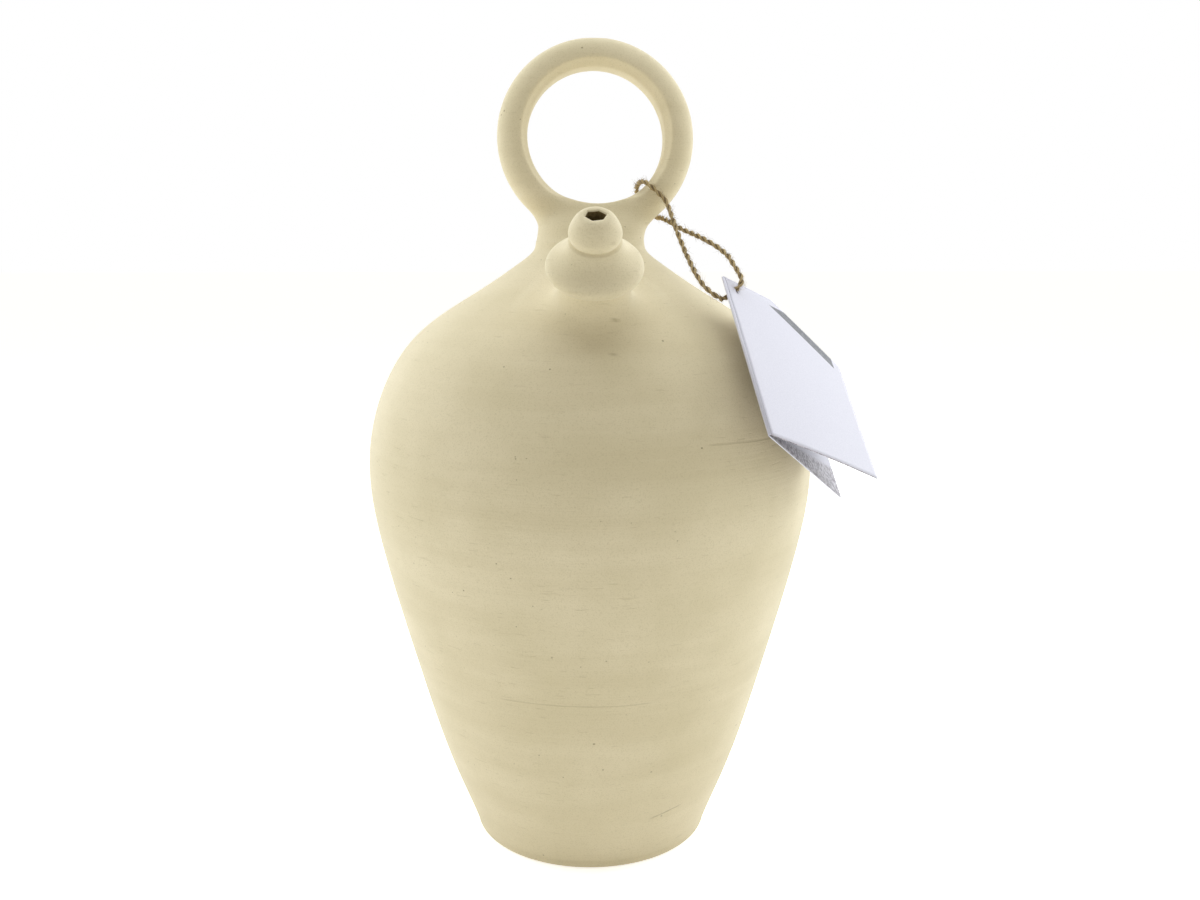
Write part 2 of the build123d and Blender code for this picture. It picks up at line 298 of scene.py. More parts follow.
def scratch(start, end, half_width):
    """A thin line cut into the front of the jug from one (sideways, height) to another, in mm."""
    parts = add_node(tree, "ShaderNodeSeparateXYZ", [(0, stretched(1.0, 1.0))])
    sideways, forward, height = parts.outputs
    slope = (end[1] - start[1]) / (end[0] - start[0])
    level = worked(worked(sideways, slope, "MULTIPLY"), start[1] - slope * start[0], "ADD")
    wander = worked(worked(lines, 0.5, "SUBTRACT"), 1.2, "MULTIPLY")
    off_line = worked(worked(height, worked(level, wander, "ADD"), "SUBTRACT"), 0.0, "ABSOLUTE")
    line = eased(off_line, 0.3 * half_width, half_width, 1.0, 0.0)
    fade = 2.5
    begun = eased(sideways, start[0], start[0] + fade)
    not_over = eased(sideways, end[0] - fade, end[0], 1.0, 0.0)
    on_front = eased(forward, -6.0, -4.0, 1.0, 0.0)
    return worked(worked(line, worked(begun, not_over, "MULTIPLY"), "MULTIPLY"), on_front, "MULTIPLY")


# A lifted rib of slip beside the tag, a faint ring low on the belly, a nick above the foot and two
# marks under the spout: each from, to, half its width and how strongly it shows
marks = [
    ((38.0, 176.0), (68.0, 175.1), 0.5, 0.5),
    ((-36.0, 79.3), (21.0, 79.1), 0.45, 0.4),
    ((21.0, 23.6), (35.0, 26.7), 0.4, 1.0),
    ((4.6, 218.6), (9.4, 217.6), 0.9, 1.0),
    ((3.8, 207.0), (8.4, 206.4), 0.7, 1.0),
]
handling = 0.0
for start, end, half_width, strength in marks:
    mark = worked(scratch(start, end, half_width), strength, "MULTIPLY")
    handling = worked(handling, mark, "ADD")
body_colour = tinted(worked(handling, 0.45, "MULTIPLY"), body_colour, "#94845c")
relief = worked(worked(lines, 0.35, "MULTIPLY"), worked(bands, 0.9, "MULTIPLY"), "ADD")
relief = worked(relief, worked(grain, 0.22, "MULTIPLY"), "ADD")
relief = worked(relief, worked(pit_mask, 0.8, "MULTIPLY"), "SUBTRACT")
relief = worked(relief, worked(drag_mask, 0.3, "MULTIPLY"), "SUBTRACT")
relief = worked(relief, worked(handling, 0.7, "MULTIPLY"), "SUBTRACT")
clay_bump = add_node(
    tree, "ShaderNodeBump", [("Height", relief)], Strength=0.6, Distance=0.0004
).outputs[0]
clay_skin = add_node(
    tree,
    "ShaderNodeBsdfPrincipled",
    [("Base Color", body_colour), ("Normal", clay_bump)],
    Roughness=0.85,
    IOR=1.5,
    Sheen_Weight=0.22,
    Sheen_Roughness=0.45,
)
add_node(tree, "ShaderNodeOutputMaterial", [("Surface", clay_skin.outputs[0])])


# THROWN JAR
# The jar is thrown in one piece, closed at the crown, with a flat wired-off foot whose edge is worn
# round. Its wall is 6 mm thick. The two holes on the shoulder lead to the spout and the mouth.
foot_radius, foot_edge = 48.5, 3.6
belly_radius, belly_height = 89.0, 158.0
neck_radius, jar_height = 21.2, 244.0
wall, floor_thickness, floor_corner, crown_thickness = 6.0, 8.0, 7.0, 9.0
# Places on the lower wall, from foot to belly: shares of the height and of the widening
lower_wall_shares = ((0.17, 0.22), (0.475, 0.585), (0.78, 0.893))
# Places on the shoulder, from belly to neck: shares of the height and of the narrowing
shoulder_shares = ((0.32, 0.085), (0.575, 0.29), (0.765, 0.63), (0.915, 0.915))
wall_line = [(foot_radius, foot_edge)]
for up, out in lower_wall_shares:
    wall_line.append((foot_radius + out * (belly_radius - foot_radius), up * belly_height))
wall_line.append((belly_radius, belly_height))
for up, inward in shoulder_shares:
    wall_line.append(
        (
            belly_radius - inward * (belly_radius - neck_radius),
            belly_height + up * (jar_height - belly_height),
        )
    )
wall_line.append((neck_radius, jar_height))
foot_lean = math.radians(19.0)


def smooth_line(points, start, end, steps=24):
    """A smooth line through points, leaving and arriving in the given directions."""
    points = np.array(points, float)
    spans = np.linalg.norm(np.diff(points, axis=0), axis=1)
    count = len(points)
    rows = np.eye(count)
    sums = np.zeros_like(points)
    sums[0] = np.array(start, float) / np.linalg.norm(start)
    sums[-1] = np.array(end, float) / np.linalg.norm(end)
    for i in range(1, count - 1):
        before, after = spans[i - 1], spans[i]
        rows[i, i - 1 : i + 2] = after, 2 * (before + after), before
        sums[i] = 3 * (
            after * (points[i] - points[i - 1]) / before + before * (points[i + 1] - points[i]) / after
        )
    slopes = np.linalg.solve(rows, sums)
    line = []
    for i in range(count - 1):
        for t in np.arange(steps) / steps:
            line.append(
                (2 * t**3 - 3 * t**2 + 1) * points[i]
                + (t**3 - 2 * t**2 + t) * spans[i] * slopes[i]
                + (3 * t**2 - 2 * t**3) * points[i + 1]
                + (t**3 - t**2) * spans[i] * slopes[i + 1]
            )
    line.append(points[-1])
    return np.array(line)


def rounded(centre, radius, first, last, steps=10):
    """Points of an arc, from one angle to another, in degrees."""
    turns = np.radians(np.linspace(first, last, steps + 1))
    return np.stack([centre[0] + radius * np.cos(turns), centre[1] + radius * np.sin(turns)], 1)


lean = (math.sin(foot_lean), math.cos(foot_lean))
outer_wall = smooth_line(wall_line, lean, (0, 1))
inner_wall = [(foot_radius - wall, floor_thickness + floor_corner)]
for before, here, after in zip(wall_line, wall_line[1:], wall_line[2:]):
    along = np.array(after) - np.array(before)
    along /= np.linalg.norm(along)
    inner_wall.append((here[0] - along[1] * wall, here[1] + along[0] * wall))
inner_wall.append((neck_radius - wall, jar_height - crown_thickness))
inner_wall = smooth_line(inner_wall, lean, (-1, 0))
outer_outline = np.concatenate(
    [
        [(0, 0)],
        rounded((foot_radius - foot_edge, foot_edge), foot_edge, -90, 0)[:-1],
        outer_wall,
        [(0, jar_height)],
    ]
)
inner_outline = np.concatenate(
    [
        [(0, floor_thickness)],
        rounded(
            (foot_radius - wall - floor_corner, floor_thickness + floor_corner), floor_corner, -90, 0
        )[:-1],
        inner_wall,
        [(0, jar_height - crown_thickness)],
    ]
)


def shoulder_height(radius):
    """Height of the jar's outside at a radius on its shoulder."""
    shoulder = outer_wall[outer_wall[:, 1] > belly_height]
    return float(np.interp(-radius, -shoulder[:, 0], shoulder[:, 1]))


def turned_surface(outline, around=192):
    """Vertices and faces of an outline of (radius, height) turned about the upright axis."""
    points, faces = [], []
    for radius, height in outline:
        for k in range(around):
            angle = 2 * math.pi * k / around
            points.append((radius * math.cos(angle), radius * math.sin(angle), height))
    for i in range(len(outline) - 1):
        for k in range(around):
            near, far = i * around, (i + 1) * around
            faces.append((near + k, near + (k + 1) % around, far + (k + 1) % around, far + k))
    return points, faces


def finished(name, points, faces, material, body, nodes=()):
    """A smooth-shaded piece from points in mm, riding on a body if it has one, standing for nodes."""
    mesh = bpy.data.meshes.new(name)
    mesh.from_pydata([tuple(0.001 * c for c in p) for p in points], [], [tuple(f) for f in faces])
    mesh.validate()
    mesh.shade_smooth()
    mesh.materials.append(material)
    piece = bpy.data.objects.new(name, mesh)
    bpy.context.scene.collection.objects.link(piece)
    if body:
        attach(piece, body)
    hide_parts(*nodes)
    return piece


# The jar below the joint is turned here; the crown above it is made with what is luted on to it
crown_joint = 200.0
near_axis = 0.01


def below_joint(outline):
    """The part of an outline under the joint, ending exactly on it."""
    kept = [tuple(p) for p in outline if p[1] < crown_joint and p[0] > near_axis]
    first_above = next(i for i, p in enumerate(outline) if p[1] >= crown_joint)
    low, high = outline[first_above - 1], outline[first_above]
    share = (crown_joint - low[1]) / (high[1] - low[1])
    return kept + [(low[0] + share * (high[0] - low[0]), crown_joint)]


outer_low = below_joint(outer_outline)
inner_low = below_joint(inner_outline)
jar_points, jar_faces = turned_surface([(near_axis, 0.0)] + outer_low)
inner_points, inner_faces = turned_surface([(near_axis, floor_thickness)] + inner_low)
offset = len(jar_points)
jar_points += inner_points
jar_faces += [tuple(offset + i for i in reversed(face)) for face in inner_faces]

# CROWN, NECK, RING HANDLE, COLLAR AND MOUTH
# The neck is drawn up from the crown, and the ring, the spout's collar and the mouth are thrown apart
# and luted on with slip. The seams are wiped with a wet finger, so each joint has a small soft fillet.
voxel = 0.85
# The grid reaches past the shoulder on all sides, below the joint and above the ring
low_corner = np.array([-92.0, -92.0, crown_joint - 2.5])
grid_shape = (217, 217, 148)
axes = [low_corner[i] + voxel * np.arange(grid_shape[i], dtype=np.float32) for i in range(3)]
x, y, z = np.meshgrid(*[a.astype(np.float32) for a in axes], indexing="ij")


def outline_distance(outline, across, along, reach=8.0, step=0.4):
    """Distance to a closed outline, negative inside, read from a table of the half plane."""
    outline = np.array(outline, float)
    low = outline.min(0) - reach
    counts = np.ceil((outline.max(0) + reach - low) / step).astype(int) + 1
    sides = [low[k] + step * np.arange(counts[k]) for k in (0, 1)]
    grid = np.stack(np.meshgrid(*sides, indexing="ij"), -1).reshape(-1, 2)
    nearest = np.full(len(grid), 1e9)
    inside = np.zeros(len(grid), bool)
    for start, end in zip(outline, np.roll(outline, -1, axis=0)):
        side = end - start
        length = side @ side
        if length < 1e-12:
            continue
        share = np.clip(((grid - start) @ side) / length, 0, 1)
        nearest = np.minimum(nearest, ((grid - start - share[:, None] * side) ** 2).sum(1))
        if start[1] != end[1]:
            crosses = (start[1] > grid[:, 1]) != (end[1] > grid[:, 1])
            edge = (end[0] - start[0]) * (grid[:, 1] - start[1]) / (end[1] - start[1]) + start[0]
            inside ^= crosses & (grid[:, 0] < edge)
    table = (np.sqrt(nearest) * np.where(inside, -1, 1)).reshape(counts).astype(np.float32)
    u = np.clip((across - low[0]) / step, 0, counts[0] - 1.001)
    v = np.clip((along - low[1]) / step, 0, counts[1] - 1.001)
    i, j = u.astype(np.int32), v.astype(np.int32)
    u -= i
    v -= j
    return (
        table[i, j] * (1 - u) * (1 - v)
        + table[i + 1, j] * u * (1 - v)
        + table[i, j + 1] * (1 - u) * v
        + table[i + 1, j + 1] * u * v
    )


def mirrored(outline):
    """An outline of a turned piece closed through its axis, so that no edge lies on the axis."""
    outline = [tuple(p) for p in outline]
    return outline + [(-r, h) for r, h in reversed(outline)]


def luted(first, second, fillet):
    """Two solids joined with a soft fillet."""
    overlap = np.maximum(fillet - np.abs(first - second), 0) / fillet
    return np.minimum(first, second) - overlap**2 * fillet / 4


def bored(solid, hole, softness=0.8):
    """A solid with a hole, the hole's edge wiped round."""
    return -luted(-solid, hole, softness)


def on_axis(origin, direction):
    """Radius from an axis and height along it, for every point of the grid."""
    direction = np.array(direction) / np.linalg.norm(direction)
    along = sum((c - o) * d for c, o, d in zip((x, y, z), origin, direction))
    squared = sum((c - o) ** 2 for c, o in zip((x, y, z), origin)) - along**2
    return np.sqrt(np.maximum(squared, 0)), along


radius = np.sqrt(x**2 + y**2)
clay_field = outline_distance(mirrored(outer_outline[1:-1]), radius, z)

# Neck: slices of half width, half depth and centre, from the crown to the saddle under the ring
neck_heights = [236.0, 244.0, 250.2, 256.4, 260.5]
neck_half_widths = [neck_radius, neck_radius, 21.2, 22.6, 25.2]
neck_half_depths = [neck_radius, 21.0, 17.6, 11.2, 8.0]
neck_sideways = [0, 0, 0.9, 1.9, 2.4]
neck_back = [0, 0, 0.6, 1.2, 1.5]
half_width = np.interp(z, neck_heights, neck_half_widths)
half_depth = np.interp(z, neck_heights, neck_half_depths)
neck_x = x - np.interp(z, neck_heights, neck_sideways)
neck_y = y - np.interp(z, neck_heights, neck_back)
flat = np.sqrt((neck_x / half_width) ** 2 + (neck_y / half_depth) ** 2)
steep = np.sqrt((neck_x / half_width**2) ** 2 + (neck_y / half_depth**2) ** 2)
neck_field = flat * (flat - 1) / np.maximum(steep, 1e-4)
neck_ends = np.maximum(z - neck_heights[-1], neck_heights[0] - z)
neck_field = np.maximum(neck_field, neck_ends).astype(np.float32)

# Ring handle: a D in section, its inner face flat between two bevels that a thumb has wiped
ring_offset, ring_setback, ring_height = 2.4, 5.0, 284.4
ring_turn, ring_lean = math.radians(3.0), math.radians(-8.0)
ring_round, ring_half_depth, ring_outer, ring_inner = 8.0, 8.5, 38.8, 26.8
# How far outside the inner face, and how far from its middle, each corner of the bevel lies
thumb_bevel = [(1.5, 5.9), (0.2, 4.0), (0.0, 2.4)]
ring_centre = np.array([ring_offset, ring_setback, ring_height])
ring_set = Matrix.Rotation(ring_turn, 3, "Z") @ Matrix.Rotation(ring_lean, 3, "X")
ring_axes = [np.array(ring_set @ Vector(v)) for v in ((1, 0, 0), (0, 1, 0), (0, 0, 1))]
across = [sum((c - o) * d for c, o, d in zip((x, y, z), ring_centre, axis)) for axis in ring_axes]
from_centre = np.sqrt(across[0] ** 2 + across[2] ** 2)
section = [
    (ring_outer - ring_round + ring_round * math.cos(a), ring_half_depth * math.sin(a))
    for a in np.linspace(-1.72, 1.72, 44)
]
section += [(ring_inner + cut, depth) for cut, depth in thumb_bevel]
section += [(ring_inner + cut, -depth) for cut, depth in reversed(thumb_bevel)]
ring_field = outline_distance(section, from_centre, across[1])
clay_field = luted(clay_field, neck_field, 1.2)
clay_field = luted(clay_field, ring_field, 4.0)
clay_field = bored(clay_field, (from_centre - ring_inner).astype(np.float32), 0.6)

# Spout collar and filling mouth, each on its own tilted axis
reach, tilt = 50.0, math.radians(35)
root_depth = -12.0
collar_bore, mouth_bore_radius, mouth_root_radius, mouth_root_height = 7.5, 13.0, 14.2, 2.0
spout_origin = (0, -reach, shoulder_height(reach))
mouth_origin = (0, reach, shoulder_height(reach))
spout_axis = (0, -math.sin(tilt), math.cos(tilt))
mouth_axis = (0, math.sin(tilt), math.cos(tilt))
collar_side = smooth_line([(25.0, -7.0), (15.2, 2.0), (12.9, 8.5), (12.6, 14.8)], (-1, 0.6), (0, 1), 8)
collar_line = [(25.0, root_depth)] + [tuple(p) for p in collar_side]
mouth_side = smooth_line([(22.0, -7.0), (17.6, 2.0), (17.2, 8.5)], (-1, 1), (0, 1), 8)
mouth_lip = smooth_line([(17.2, 8.5), (19.3, 11.4), (17.6, 13.8)], (1, 1), (-1, 1), 6)
mouth_line = [(22.0, root_depth)] + [tuple(p) for p in mouth_side]
mouth_line += [tuple(p) for p in mouth_lip][1:] + [(16.4, 14.0)]
spout_r, spout_h = on_axis(spout_origin, spout_axis)
mouth_r, mouth_h = on_axis(mouth_origin, mouth_axis)
clay_field = luted(clay_field, outline_distance(mirrored(collar_line), spout_r, spout_h), 7.0)
clay_field = luted(clay_field, outline_distance(mirrored(mouth_line), mouth_r, mouth_h), 5.0)

# The hollow and the passages
hollow_field = outline_distance(mirrored(inner_outline[1:-1]), radius, z)
bore_depth = 30.0
spout_bore = np.maximum(spout_r - collar_bore, -spout_h - bore_depth)
mouth_width = np.where(mouth_h > mouth_root_height, mouth_bore_radius, mouth_root_radius)
mouth_bore = np.maximum(mouth_r - mouth_width, -mouth_h - bore_depth)
clay_field = bored(clay_field, hollow_field)
clay_field = bored(clay_field, np.maximum(spout_bore, -(radius - 4.0)))
clay_field = bored(clay_field, mouth_bore.astype(np.float32), 1.4)

furthest = 6.0
level = openvdb.FloatGrid(furthest)
level.copyFromArray(np.clip(clay_field, -furthest, furthest).astype(np.float32))
crown_points, crown_quads = level.convertToQuads(0.0)
crown_points = crown_points * voxel + low_corner
crown = bmesh.new()
crown_verts = [crown.verts.new(p) for p in crown_points]
for quad in crown_quads:
    crown.faces.new([crown_verts[i] for i in reversed(quad)])
bmesh.ops.bisect_plane(
    crown,
    geom=crown.verts[:] + crown.edges[:] + crown.faces[:],
    plane_co=(0, 0, crown_joint),
    plane_no=(0, 0, 1),
    clear_inner=True,
)
crown.verts.index_update()
offset = len(jar_points)
jar_points += [tuple(v.co) for v in crown.verts]
jar_faces += [tuple(offset + v.index for v in face.verts) for face in crown.faces]
crown.free()
finished(
    "luted_clay_jug",
    jar_points,
    jar_faces,
    clay,
    "vessel",
    ["jar_foot", "body_shell", "neck", "ring_handle", "spout_collar", "filling_mouth"],
)

# SPOUT BULB AND NOZZLE
# Thrown upside down as one little pot with a waist, pierced with a knife point and set on the collar.
# The seam under the bulb is pressed, not wiped, and a dark groove runs round under the nozzle.
bulb_line = smooth_line(
    [(13.0, 14.6), (16.6, 16.4), (17.3, 18.3), (16.4, 20.7), (13.8, 23.0), (11.1, 25.7), (9.3, 28.9)],
    (1, 0.15),
    (-0.4, 1),
    8,
)
nozzle_line = [(8.5, 29.3), (8.2, 29.7), (8.4, 30.1), (8.9, 30.6)]
nozzle_line += [
    tuple(p)
    for p in smooth_line(
        [(9.15, 31.4), (9.25, 33.0), (8.6, 35.2), (7.5, 37.3), (6.0, 39.0), (4.4, 39.7)],
        (0.3, 1),
        (-1, 0.1),
        6,
    )
]
outside = [tuple(p) for p in bulb_line] + nozzle_line + [(3.7, 39.75), (3.3, 39.6)]
inside = [(3.1, 39.2), (3.1, 36.0), (3.1, 29.0), (4.6, 28.6), (4.6, 27.5)]
bulb_chamber = smooth_line([(4.6, 27.5), (12.6, 18.4), (7.5, 12.4)], (1, -0.3), (-1, -0.3), 12)
inside += [tuple(p) for p in bulb_chamber][1:]
spout_outline = outside + inside + [(13.0, 14.6)]
around = 128
# The knife's hole: what lies above the groove and near the axis is cut to six uneven flats
groove_top, knife_reach = 28.9, 3.75
knife_wide, knife_deep, knife_turn = 1.12, 0.94, 0.2
spout_points, spout_faces = turned_surface(spout_outline, around)


def spout_place(point):
    """A point of the spout, set on its tilted axis, with the hand-cut hole's six flats."""
    px, py, pz = point
    size = math.hypot(px, py)
    if pz > groove_top and size < knife_reach:
        angle = math.atan2(py, px)
        half_flat = math.pi / 6
        from_flat = (angle - knife_turn) % (2 * half_flat) - half_flat
        flats = math.cos(half_flat) / math.cos(from_flat)
        cut = flats * (1.08 + 0.03 * math.sin(3 * angle))
        px, py = px * cut * knife_wide, py * cut * knife_deep
    away = pz * math.sin(tilt)
    return (
        px,
        -reach + py * math.cos(tilt) - away,
        spout_origin[2] + py * math.sin(tilt) + pz * math.cos(tilt),
    )


spout = finished(
    "spout_bulb_and_nozzle",
    [spout_place(p) for p in spout_points],
    spout_faces,
    clay,
    "vessel",
    ["spout_bulb", "spout_nozzle"],
)

# Painted shade: the bore and the chamber inside the spout are the same clay, painted a darker brown to
# stand for the shade deep inside them
spout_inside_painted_shade, tree = new_material("clay_with_painted_shade_inside_the_spout")
place = add_node(tree, "ShaderNodeTexCoord").outputs["Object"]
painted_bore_shade = tinted(eased(noise_at(1.2, 1.0), 0.35, 0.65), "#5f4f2c", "#7a6840")
painted_bore_shade_skin = add_node(tree, "ShaderNodeBsdfPrincipled", [("Base Color", painted_bore_shade)], Roughness=0.95)
add_node(tree, "ShaderNodeOutputMaterial", [("Surface", painted_bore_shade_skin.outputs[0])])
spout.data.materials.append(spout_inside_painted_shade)
for face in spout.data.polygons:
    if len(outside) <= face.index // around < len(spout_outline) - 2:
        face.material_index = 1

# JUTE TWINE
# Two loosely laid plies of jute, tied in a loop with an overhand knot behind the ring. Jute is coarse
# and hairy: short stiff fibres stand off it everywhere, and its colour changes along each ply.
twine_route = [
    (0.0225, 0.0143, 0.2593),
    (0.0192, 0.0144, 0.2636),
    (0.0189, 0.0091, 0.2657),
    (0.0196, -0.0005, 0.2675),
    (0.0214, -0.0069, 0.2674),
    (0.0259, -0.0081, 0.2634),
    (0.0296, -0.0079, 0.2600),
    (0.0312, -0.0146, 0.2537),
    (0.0332, -0.0212, 0.2466),
    (0.0360, -0.0288, 0.2385),
    (0.0389, -0.0367, 0.2316),
    (0.0414, -0.0409, 0.2280),
    (0.0437, -0.0431, 0.2261),
    (0.0459, -0.0430, 0.2245),
    (0.0478, -0.0411, 0.2237),
    (0.0497, -0.0392, 0.2247),
    (0.0538, -0.0412, 0.2284),
    (0.0548, -0.0406, 0.2307),
    (0.0543, -0.0384, 0.2330),
    (0.0528, -0.0355, 0.2355),
    (0.0504, -0.0291, 0.2406),
    (0.0419, -0.0205, 0.2462),
    (0.0356, -0.0112, 0.2489),
    (0.0311, -0.0031, 0.2522),
    (0.0282, 0.0065, 0.2538),
    (0.0273, 0.0127, 0.2535),
    (0.0258, 0.0139, 0.2553),
]

jute, tree = new_material("undyed_jute")
ply_uv = add_node(tree, "ShaderNodeUVMap", uv_map="ply").outputs[0]
ply_place = add_node(
    tree, "ShaderNodeMapping", [("Vector", ply_uv)], Scale=(9.0, 900.0, 1.0)
).outputs[0]
strand = add_node(
    tree, "ShaderNodeTexNoise", [("Vector", ply_place)], Scale=1.0, Detail=3.0, Roughness=0.6
).outputs["Fac"]
along_place = add_node(
    tree, "ShaderNodeMapping", [("Vector", ply_uv)], Scale=(1.5, 160.0, 1.0)
).outputs[0]
along = add_node(
    tree, "ShaderNodeTexNoise", [("Vector", along_place)], Scale=1.0, Detail=2.0
).outputs["Fac"]
jute_colour = tinted(eased(along, 0.35, 0.65), "#8d7650", "#ab9467")
jute_colour = tinted(eased(strand, 0.35, 0.7, 0.0, 0.75), jute_colour, "#d2c096")
jute_colour = tinted(eased(strand, 0.15, 0.42, 0.6, 0.0), jute_colour, "#4c3c25")
# Painted shade: each ply is darkened on its inner side, where it lies against the other ply and shade
# falls between them
ply_parts = add_node(tree, "ShaderNodeSeparateXYZ", [(0, ply_uv)])
round_ply = add_node(tree, "ShaderNodeMath", [(0, ply_parts.outputs[0])], operation="FRACT").outputs[0]
painted_ply_shade = worked(worked(round_ply, 0.5, "SUBTRACT"), 2.0, "MULTIPLY")
painted_ply_shade = eased(worked(painted_ply_shade, 0.0, "ABSOLUTE"), 0.2, 0.62, 0.75, 0.0)
jute_colour = tinted(painted_ply_shade, jute_colour, "#57452c")
jute_bump = add_node(tree, "ShaderNodeBump", [("Height", strand)], Strength=0.8, Distance=0.00012)
jute_skin = add_node(
    tree,
    "ShaderNodeBsdfPrincipled",
    [("Base Color", jute_colour), ("Normal", jute_bump.outputs[0])],
    Roughness=0.8,
)
add_node(tree, "ShaderNodeOutputMaterial", [("Surface", jute_skin.outputs[0])])


def smooth_route(points):
    """Points along the smooth line that a cord takes through its route."""
    curve = bpy.data.curves.new("route", "CURVE")
    curve.dimensions = "3D"
    curve.resolution_u = 24
    spline = curve.splines.new("NURBS")
    spline.points.add(len(points) - 1)
    for point, co in zip(spline.points, points):
        point.co = (*co, 1.0)
    spline.order_u = 3
    spline.use_endpoint_u = True
    holder = bpy.data.objects.new("route", curve)
    bpy.context.scene.collection.objects.link(holder)
    mesh = bpy.data.meshes.new_from_object(holder)
    line = [Vector(v.co) for v in mesh.vertices]
    bpy.data.objects.remove(holder)
    bpy.data.meshes.remove(mesh)
    return line


def frames_along(line):
    """Place, direction and two steady sideways directions at each point of a line, and its length."""
    frames = []
    side = None
    gone = 0.0
    for i, here in enumerate(line):
        ahead = (line[min(i + 1, len(line) - 1)] - line[max(i - 1, 0)]).normalized()
        if side is None:
            side = ahead.orthogonal().normalized()
        side = (side - ahead * side.dot(ahead)).normalized()
        if i:
            gone += (here - line[i - 1]).length
        frames.append((here, ahead, side, ahead.cross(side), gone))
    return frames


def evenly(line, step):
    """A line's points again, an even step apart."""
    even = [line[0]]
    left = step
    for start, end in zip(line, line[1:]):
        run = (end - start).length
        at = left
        while at < run:
            even.append(start.lerp(end, at / run))
            at += step
        left = at - run
    even.append(line[-1])
    return even


joints = {joint["name"]: joint for joint in frame["joints"]}


def added_twine(name, mesh):
    """A piece of jute made from a mesh, given the jute material and set in the scene."""
    data = bpy.data.meshes.new(name)
    mesh.to_mesh(data)
    mesh.free()
    data.materials.append(jute)
    piece = bpy.data.objects.new(name, data)
    bpy.context.scene.collection.objects.link(piece)
    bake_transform(piece)
    return piece


def plies(name, line, radius=0.00051, off=0.00048, pitch=0.0074):
    """Two plies of twine, laid round each other along a line, as one mesh with a map along each."""
    count, around = 2, 12
    frames = frames_along(evenly(line, 0.00035))
    mesh = bmesh.new()
    uv = mesh.loops.layers.uv.new("ply")
    for ply in range(count):
        rings = []
        for here, ahead, side, across, gone in frames:
            slack = 1 + 0.10 * noise.noise((gone * 160, ply * 7.3, 0.5))
            lag = 0.8 * noise.noise((gone * 90, 3.1, ply * 0.3))
            turn_by = 2 * math.pi * (gone / pitch + ply / count) + lag
            centre = here + (side * math.cos(turn_by) + across * math.sin(turn_by)) * off * slack
            thick = radius * (1 + 0.09 * noise.noise((gone * 420, 1.7, ply * 5)))
            ring = []
            for k in range(around):
                angle = turn_by + 2 * math.pi * k / around
                over, up = math.cos(angle), math.sin(angle)
                rough = 1 + 0.10 * noise.noise((gone * 1500, 4.0 * over, 4.0 * up + ply))
                ring.append(mesh.verts.new(centre + (side * over + across * up) * thick * rough))
            rings.append((ring, gone))
        for (ring, gone), (later, further) in zip(rings, rings[1:]):
            for k in range(around):
                m = (k + 1) % around
                face = mesh.faces.new((ring[k], ring[m], later[m], later[k]))
                face.smooth = True
                corners = ((k, gone), (k + 1, gone), (k + 1, further), (k, further))
                for loop, (u, v) in zip(face.loops, corners):
                    loop[uv].uv = (ply + u / around, v)
        mesh.faces.new(rings[0][0][::-1])
        mesh.faces.new(rings[-1][0])
    bmesh.ops.recalc_face_normals(mesh, faces=mesh.faces)
    return added_twine(name, mesh), frames


twine_line = smooth_route(twine_route)
twine, twine_frames = plies("jute_twine", twine_line)
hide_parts("twine_loop")


def fuzz(name, frames, count, longest):
    """Short fibres that stand off a twine, each a thin tapering three-sided sliver."""
    reach = 0.00085
    mesh = bmesh.new()
    uv = mesh.loops.layers.uv.new("ply")
    for number in range(count):
        here, ahead, side, across, gone = random.choice(frames[3:-3])
        angle = random.uniform(0, 2 * math.pi)
        away = side * math.cos(angle) + across * math.sin(angle)
        start = here + away * reach * random.uniform(0.7, 1.0)
        length = longest * random.random() ** 1.6 + 0.0004
        heading = (away * random.uniform(0.25, 0.9) + ahead * random.choice((-1, 1))).normalized()
        bend = Vector([random.uniform(-1, 1) for _ in range(3)]) * 0.5
        thick = random.uniform(0.00003, 0.000055)
        rings = []
        spot = start
        for step in range(5):
            share = step / 4
            towards = (heading + bend * share).normalized()
            first = towards.orthogonal().normalized()
            second = towards.cross(first)
            size = thick * (1 - 0.7 * share)
            rings.append(
                [
                    mesh.verts.new(spot + (first * math.cos(a) + second * math.sin(a)) * size)
                    for a in (0, 2.09, 4.19)
                ]
            )
            spot = spot + towards * length / 4
        for ring, later in zip(rings, rings[1:]):
            for k in range(3):
                m = (k + 1) % 3
                face = mesh.faces.new((ring[k], ring[m], later[m], later[k]))
                face.smooth = True
                for loop in face.loops:
                    loop[uv].uv = (number * 0.37, gone)
    return added_twine(name, mesh)


fibres = fuzz("jute_fibres", twine_frames, 1500, 0.0030)
# A few longer ones have worked loose on the ring
over_ring = [f for f in twine_frames if 0.008 < f[4] < 0.016]
loose = fuzz("loose_jute_fibres", over_ring, 5, 0.0075)

# The knot: nearly two turns of the twine round both its ends, behind the ring
knot_start, knot_end = Vector(twine_route[0]), Vector(twine_route[-1])
knot_middle = (knot_start + knot_end) / 2
knot_along = (knot_start - knot_end).normalized()
knot_back = Vector((0.3, 1.0, 0.1))
knot_out = (knot_back - knot_along * knot_back.dot(knot_along)).normalized()
knot_up = knot_along.cross(knot_out)
knot_radius, knot_start_at, knot_advance = 0.00155, 0.0017, 0.00025
knot_route = []
for step in range(15):
    angle = math.radians(-60 + step * 46)
    out = (knot_out * math.cos(angle) + knot_up * math.sin(angle)) * knot_radius
    knot_route.append(tuple(knot_middle + out + knot_along * (knot_start_at - knot_advance * step)))
knot = plies("overhand_knot", smooth_route(knot_route), 0.00048, 0.0004, 0.006)[0]
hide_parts("twine_knot")

